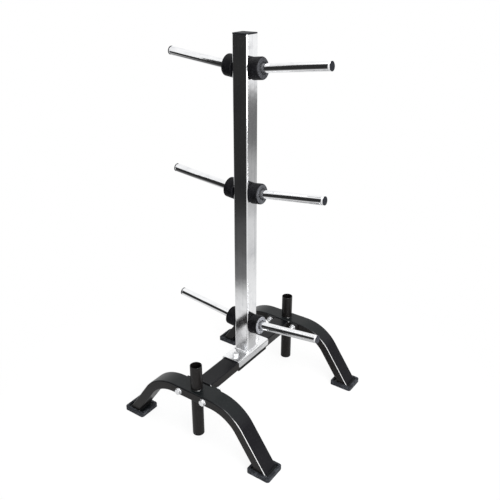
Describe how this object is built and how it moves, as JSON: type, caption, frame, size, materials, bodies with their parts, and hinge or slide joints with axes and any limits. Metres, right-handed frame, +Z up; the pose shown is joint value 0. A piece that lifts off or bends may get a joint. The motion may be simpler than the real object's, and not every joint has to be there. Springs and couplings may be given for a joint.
{
  "type": "plate tree",
  "caption": "Free-standing weight plate storage tree: square upright with tilted pegs and rubber bumpers, on two bowed legs that each carry an upright bar holder tube.",
  "frame": {"origin": "on the floor, under the middle of the upright", "axes": "+Z up; +X along the pegs and the legs; +Y along the base beam"},
  "size_m": [0.5636, 0.58, 1.17],
  "materials": {
    "chrome": "bright plated, lightly brushed",
    "black_powder_coat": "satin powder coat",
    "rubber": "moulded, matt",
    "black_plastic": "moulded, satin",
    "zinc": "bright zinc plated"
  },
  "bodies": {
    "root": {"upright_tube": "chrome", "saddle_plate": "chrome", "lower_left_peg": "chrome", "lower_right_peg": "chrome", "middle_left_peg": "chrome", "middle_right_peg": "chrome", "upper_left_peg": "chrome", "upper_right_peg": "chrome", "base_beam": "black_powder_coat", "backing_plate": "black_powder_coat", "front_end_flange": "black_powder_coat", "back_end_flange": "black_powder_coat", "front_leg": "black_powder_coat", "back_leg": "black_powder_coat", "front_bar_holder": "black_powder_coat", "back_bar_holder": "black_powder_coat", "lower_left_bumper": "rubber", "lower_right_bumper": "rubber", "middle_left_bumper": "rubber", "middle_right_bumper": "rubber", "upper_left_bumper": "rubber", "upper_right_bumper": "rubber", "front_left_boot": "rubber", "front_right_boot": "rubber", "back_left_boot": "rubber", "back_right_boot": "rubber", "upright_cap": "black_plastic", "front_bar_holder_plug": "black_plastic", "back_bar_holder_plug": "black_plastic", "lower_left_peg_plug": "black_plastic", "lower_right_peg_plug": "black_plastic", "middle_left_peg_plug": "black_plastic", "middle_right_peg_plug": "black_plastic", "upper_left_peg_plug": "black_plastic", "upper_right_peg_plug": "black_plastic", "front_saddle_bolt": "zinc", "front_saddle_head_washer": "zinc", "front_saddle_nut_washer": "zinc", "front_saddle_nut": "zinc", "back_saddle_bolt": "zinc", "back_saddle_head_washer": "zinc", "back_saddle_nut_washer": "zinc", "back_saddle_nut": "zinc", "front_left_leg_bolt": "zinc", "front_left_leg_head_washer": "zinc", "front_left_leg_nut_washer": "zinc", "front_left_leg_nut": "zinc", "front_right_leg_bolt": "zinc", "front_right_leg_head_washer": "zinc", "front_right_leg_nut_washer": "zinc", "front_right_leg_nut": "zinc", "back_left_leg_bolt": "zinc", "back_left_leg_head_washer": "zinc", "back_left_leg_nut_washer": "zinc", "back_left_leg_nut": "zinc", "back_right_leg_bolt": "zinc", "back_right_leg_head_washer": "zinc", "back_right_leg_nut_washer": "zinc", "back_right_leg_nut": "zinc"}
  },
  "joints": []
}
